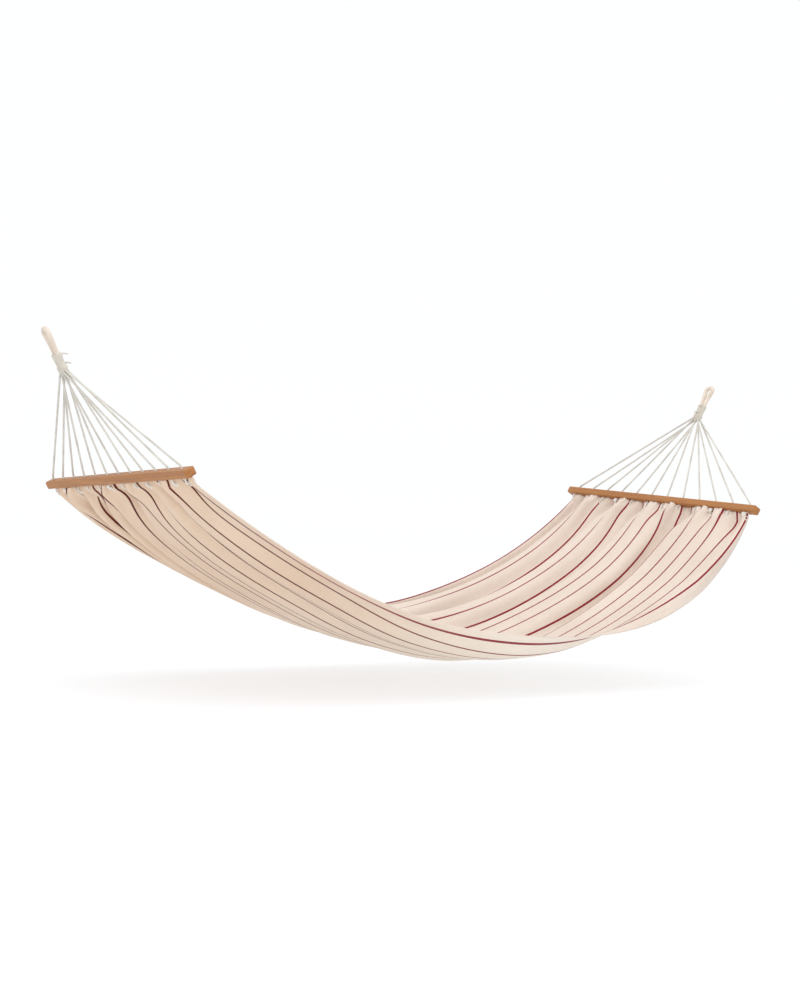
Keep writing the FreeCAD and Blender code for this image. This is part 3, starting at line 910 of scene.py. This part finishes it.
def cloth_grid(rows, columns):
    """Points of the gathered cloth, its rows and columns evenly spaced on the flat cut.

    Each row is a section that keeps its length: its slope is that of the belly, the pleats and
    the gathers, and these are made as steep as the width between the rims asks for.
    """
    along = np.linspace(0, BED.length, rows)
    share, place, slope = BED.at(along)
    u = np.linspace(0, CLOTH_WIDTH, SECTION_POINTS)
    near_bar = np.minimum(along, BED.length - along)
    ease = 1 - np.exp(-((near_bar / EASE_LENGTH) ** 2))[:, None]

    waves = smooth(WAVE_PLACES, WAVE_SLOPES, u)[None, :] * (u < WAVE_PLACES[-1])
    base = belly(u, share) + waves * smooth(STATIONS, WAVE_STRENGTH, share)[:, None] * ease
    turned = curls(u, share)
    folds = ruffles(u, along, "left") + ruffles(u, BED.length - along, "right")
    folds += pleats(u, share) * ease
    step = CLOTH_WIDTH / (len(u) - 1)
    half = len(u) // 2

    def run(of_slopes):
        """Distance from the middle of the cut, added up both ways."""
        total = np.cumsum(of_slopes[:, 1:], axis=1) * step
        total = np.concatenate([np.zeros((rows, 1)), total], axis=1)
        return total - total[:, half : half + 1]

    width = smooth(STATIONS, HUNG_WIDTH, share)
    weak = np.zeros(rows)
    strong = np.full(rows, STEEPEST)
    for _ in range(HALVINGS):
        middle = (weak + strong) / 2
        across = run(np.cos(base + turned + middle[:, None] * folds))
        hung = across.max(axis=1) - across.min(axis=1)
        weak = np.where(hung > width, middle, weak)
        strong = np.where(hung > width, strong, middle)
    slopes = base + weak[:, None] * folds
    across = run(np.cos(slopes + turned))
    rise = run(np.sin(slopes + turned))
    plain = run(np.sin(slopes))
    centre = (across.max(axis=1) + across.min(axis=1)) / 2
    across -= centre[:, None] + smooth(STATIONS, NEAR_SHIFT, share)[:, None]
    left_over = plain[:, -1] - plain[:, 0] - smooth(STATIONS, FAR_RISE, share)
    rise -= plain[:, :1] + left_over[:, None] * (u / CLOTH_WIDTH)[None, :]

    held = np.linspace(CUT_MARGIN, CLOTH_WIDTH - CUT_MARGIN, CORD_COUNT)
    holes = np.array([ENDS["left"].hole(number) for number in range(CORD_COUNT)])
    for row in range(rows):
        grip = math.exp(-near_bar[row] / HOLD_LENGTH)
        across[row] += grip * np.interp(u, held, holes - np.interp(held, u, across[row]))
        rise[row] -= grip * np.interp(u, held, np.interp(held, u, rise[row]))

    picked = np.linspace(0, CLOTH_WIDTH, columns)
    across = np.array([np.interp(picked, u, row) for row in across])
    rise = np.array([np.interp(picked, u, row) for row in rise])
    return BED.world(share, place, slope, across, rise)


def refined(points, factor):
    """The grid again with more rows and columns, smooth through the old points."""
    for axis in (0, 1):
        grid = np.moveaxis(points, axis, 0)
        count = grid.shape[0]
        place = np.linspace(0, count - 1, (count - 1) * factor + 1)
        index = np.clip(np.floor(place).astype(int), 0, count - 2)
        t = (place - index).reshape(-1, *([1] * (grid.ndim - 1)))
        padded = np.concatenate([2 * grid[:1] - grid[1:2], grid, 2 * grid[-1:] - grid[-2:-1]])
        a, b, c, d = (padded[index + k] for k in range(4))
        new = 0.5 * (2 * b + (c - a) * t + (2 * a - 5 * b + 4 * c - d) * t**2)
        new += 0.5 * (3 * b - a - 3 * c + d) * t**3
        points = np.moveaxis(new, 0, axis)
    return points


def cloth_normals(points):
    """Unit normals of the inside, which is the upper face."""
    normal = np.cross(np.gradient(points, axis=0), np.gradient(points, axis=1))
    return normal / (np.linalg.norm(normal, axis=2)[:, :, None] + 1e-12)


HEM_WIDTH = 0.024
HEM_SLOPE = 0.004            # in which the folded hem thins out to the plain cloth
HEM_EXTRA = 1.4              # thickness that it adds, as a share


def thick_cloth(name, points, uv):
    """A closed cloth: two faces a thickness apart, thicker along its folded hems.

    Its polygons are pairs of one of the upper face and one of the lower face, then the edges.
    """
    rows, columns, _ = points.shape
    normal = cloth_normals(points)
    length = uv[-1, 0, 1]
    edge = np.minimum(uv[:, :, 0], CLOTH_WIDTH - uv[:, :, 0])
    end = np.minimum(uv[:, :, 1], length - uv[:, :, 1])
    hem = np.clip((HEM_WIDTH - np.minimum(edge, end)) / HEM_SLOPE, 0, 1)
    half = (CLOTH_THICKNESS * (1 + HEM_EXTRA * hem) / 2)[:, :, None]
    verts = np.concatenate([points + normal * half, points - normal * half]).reshape(-1, 3)
    count = rows * columns
    faces = []
    for i in range(rows - 1):
        for j in range(columns - 1):
            a = i * columns + j
            b = a + columns
            faces.append((a, b, b + 1, a + 1))
            faces.append((count + a, count + a + 1, count + b + 1, count + b))
    for i in range(rows - 1):
        a = i * columns
        faces.append((a, count + a, count + a + columns, a + columns))
        b = a + columns - 1
        faces.append((b, b + columns, count + b + columns, count + b))
    for j in range(columns - 1):
        faces.append((j, j + 1, count + j + 1, count + j))
        b = (rows - 1) * columns + j
        faces.append((b, count + b, count + b + 1, b + 1))
    obj = mesh_object(name, verts, faces)
    layer = obj.data.uv_layers.new(name="cut")
    flat = uv.reshape(-1, 2)[np.ravel(faces) % count]
    layer.data.foreach_set("uv", flat.astype(np.float32).ravel())
    return obj


SEAM_PLACE = 0.018            # from each edge
STITCH_PITCH = 0.0046
STITCH_LENGTH = 0.0032
STITCH_RADIUS = 0.00055
STITCH_HEIGHT = 0.0014        # of a stitch's middle above the middle of the cloth
STITCH_SINK = 0.7             # height of its tips, as a share of that
# A stitch has two tips, 0 and 1, and a ring of four points between them.
STITCH_SIDES = (2, 3), (3, 4), (4, 5), (5, 2)
STITCH_FACES = [(0, a, b) for a, b in STITCH_SIDES] + [(1, b, a) for a, b in STITCH_SIDES]
EYELET_RADIUS = 0.0052
EYELET_BEAD = 0.0040         # thickness of the sewn ring
EYELET_PITCH = 0.0022        # of its stitches


def sewing(points, length):
    """The stitches of the four hems, on both faces, and the worked eyelets of the two ends."""
    rows, columns, _ = points.shape
    normal = cloth_normals(points)

    def at(field, u, v):
        """A field of the grid at some places on the cut."""
        i = np.clip(np.asarray(v) / length * (rows - 1), 0, rows - 1.001)
        j = np.clip(np.asarray(u) / CLOTH_WIDTH * (columns - 1), 0, columns - 1.001)
        a, b = i.astype(int), j.astype(int)
        s, t = (i - a)[..., None], (j - b)[..., None]
        upper = field[a, b] * (1 - t) + field[a, b + 1] * t
        lower = field[a + 1, b] * (1 - t) + field[a + 1, b + 1] * t
        return upper * (1 - s) + lower * s

    starts, stops = [], []
    for axis, run, span in ((1, length, CLOTH_WIDTH), (0, CLOTH_WIDTH, length)):
        places = np.arange(SEAM_PLACE, run - SEAM_PLACE, STITCH_PITCH)
        for seam in (SEAM_PLACE, span - SEAM_PLACE):
            for ends, shift in ((starts, 0), (stops, STITCH_LENGTH)):
                ends.append(np.full((len(places), 2), seam))
                ends[-1][:, axis] = places + shift
    start, stop = np.concatenate(starts), np.concatenate(stops)
    middle = (start + stop) / 2
    out = at(normal, *middle.T)
    out /= np.linalg.norm(out, axis=1)[:, None]
    first, last, centre = (at(points, *place.T) for place in (start, stop, middle))
    way = last - first
    way /= np.linalg.norm(way, axis=1)[:, None]
    aside = np.cross(way, out) * STITCH_RADIUS
    thick = out * STITCH_RADIUS
    stitches = []
    for face in (1, -1):
        lift = out * face * STITCH_HEIGHT
        sunk = lift * STITCH_SINK
        ring = centre + lift
        tips = [first + sunk, last + sunk]
        stitches.append(
            np.stack(tips + [ring + aside, ring + thick, ring - aside, ring - thick], axis=1)
        )
    parts = Builder()
    for stitch in np.concatenate(stitches):
        parts.add(stitch, STITCH_FACES)

    turns = np.linspace(0, 2 * np.pi, 25)
    for u in np.linspace(CUT_MARGIN, CLOTH_WIDTH - CUT_MARGIN, CORD_COUNT):
        for v in (EYELET_DEPTH, length - EYELET_DEPTH):
            centre = at(points, u, v)
            over = at(points, u + 0.004, v) - at(points, u - 0.004, v)
            over /= np.linalg.norm(over)
            out = at(normal, u, v)
            down = np.cross(out, over)
            down /= np.linalg.norm(down)
            ring = [math.cos(t) * over + math.sin(t) * down for t in turns]
            path = evenly([centre + EYELET_RADIUS * p for p in ring], 0.0011)
            parts.add(*tube(path, served(EYELET_BEAD, EYELET_PITCH), sides=10))
    obj = parts.object("bed_sewing")
    return finish_piece(obj, None, THREAD, "cotton_cord")


CLOTH_GRID = 181, 95
CLOTH_REFINING = 3
CUT_SPARE = 1.02              # length of the cut, as a share of the smooth bed's


def bed_cloth():
    """The whole bed: one cloth from bar to bar, and its sewing."""
    points = refined(cloth_grid(*CLOTH_GRID), CLOTH_REFINING)
    rows, columns, _ = points.shape
    length = BED.length * CUT_SPARE
    u, v = np.linspace(0, CLOTH_WIDTH, columns), np.linspace(0, length, rows)
    obj = thick_cloth("bed_cloth", points, np.stack(np.meshgrid(u, v), axis=-1))
    nodes = [f"{side}_{part}" for side in SIDES for part in ("bed_cloth", "hem")]
    finish_piece(obj, None, CANVAS, "bed_canvas", *nodes)
    # The lower face takes the underside's canvas, with painted shade and painted light.
    obj.data.materials.append(CANVAS_BACK_SHADED)
    shell = 2 * (rows - 1) * (columns - 1)
    backs = [i % 2 if i < shell else 0 for i in range(len(obj.data.polygons))]
    obj.data.polygons.foreach_set("material_index", backs)
    sewn = sewing(points, length)
    for piece in (obj, sewn):
        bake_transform(piece)


# ---- stage, light and camera

CAMERA_PLACE = Vector((-2.436, -3.663, -0.290))          # from the middle of the two throats
CAMERA_TURN = 33.1, -0.2, 1.9                # yaw, pitch down and roll, in degrees
CAMERA_LENS = 60.75


def camera():
    """The view of the photograph: near the level of the bed, from in front and to the left."""
    data = bpy.data.cameras.new("view")
    data.sensor_width = 36.0
    data.lens = CAMERA_LENS
    obj = bpy.data.objects.new("view", data)
    bpy.context.scene.collection.objects.link(obj)
    yaw, pitch, roll = (math.radians(angle) for angle in CAMERA_TURN)
    level = math.cos(pitch)
    ahead = Vector((math.sin(yaw) * level, math.cos(yaw) * level, -math.sin(pitch)))
    right = Vector((math.cos(yaw), -math.sin(yaw), 0))
    above = right.cross(ahead)
    turned = right * math.cos(roll) + above * math.sin(roll)
    top = above * math.cos(roll) - right * math.sin(roll)
    turn = Matrix((turned, top, -ahead)).transposed().to_4x4()
    obj.matrix_world = Matrix.Translation(BED.middle + CAMERA_PLACE) @ turn
    bpy.context.scene.camera = obj


FLOOR_DROP = 0.074           # below the CAD model, to clear the bed at the end of its swing
# The floor's rings, from its middle to the rim of the backdrop: radius and height.
FLOOR_RINGS = (2.5, 0), (5, 0), (8, 0), (9, 0.15), (9.7, 0.7), (10, 1.6), (10, 7)


def stage():
    """A pale floor that curves up into the backdrop all round."""
    floor = CAD_LOW.z - FLOOR_DROP
    middle = BED.middle.x
    sides = 96
    verts = []
    for radius, height in FLOOR_RINGS:
        for j in range(sides):
            angle = 2 * math.pi * j / sides
            x, y = radius * math.cos(angle), radius * math.sin(angle)
            verts.append((middle + x, y, floor + height))
    hub = len(verts)
    verts.append((middle, 0, floor))
    faces = [tuple(reversed(face)) for face in ring_faces(len(FLOOR_RINGS), sides)]
    faces += [(hub, j, (j + 1) % sides) for j in range(sides)]
    obj = mesh_object("studio_floor", verts, faces)
    s = Shader("studio_white")
    s.fill(
        s.surface,
        Base_Color=(0.37, 0.38, 0.395, 1),
        Emission_Color=(1.0, 1.0, 1.0, 1),
        Emission_Strength=0.62,
        Roughness=0.95,
        Specular_IOR_Level=0.1,
    )
    obj.data.materials.append(s.material)


# Name, place from the target, size in metres and power in watts.
LIGHTS = (
    ("overhead", (-0.2, -0.4, 2.1), 4.0, 26),
    ("front", (-2.2, -3.2, 0.1), 2.5, 21),
)
LIGHT_TARGET = Vector((0, 0, -0.4))          # from the middle of the two throats


def area_light(name, place, target, size, power):
    """A round soft light that faces its target."""
    data = bpy.data.lights.new(name, "AREA")
    data.shape = "DISK"
    data.size = size
    data.energy = power
    obj = bpy.data.objects.new(name, data)
    obj.location = place
    obj.rotation_mode = "QUATERNION"
    obj.rotation_quaternion = (target - place).to_track_quat("-Z", "Y")
    bpy.context.scene.collection.objects.link(obj)


def lights():
    """A white world, one large light above the bed and one in front of it."""
    world = bpy.data.worlds.new("studio")
    world.use_nodes = True
    sky = world.node_tree.nodes["Background"].inputs
    sky["Color"].default_value = (1, 1, 1, 1)
    sky["Strength"].default_value = 1.0
    bpy.context.scene.world = world
    target = BED.middle + LIGHT_TARGET
    for name, place, size, power in LIGHTS:
        area_light(name, target + Vector(place), target, size, power)
    bpy.context.scene.view_settings.view_transform = "Standard"


for side, end in ENDS.items():
    dress_bar(side)
    for number in range(CORD_COUNT):
        fan_cord(end, number)
    eye_rope(end)
    whipping(end)
    twine_tails(end)
    cord_knots(end)
bed_cloth()
camera()
stage()
lights()
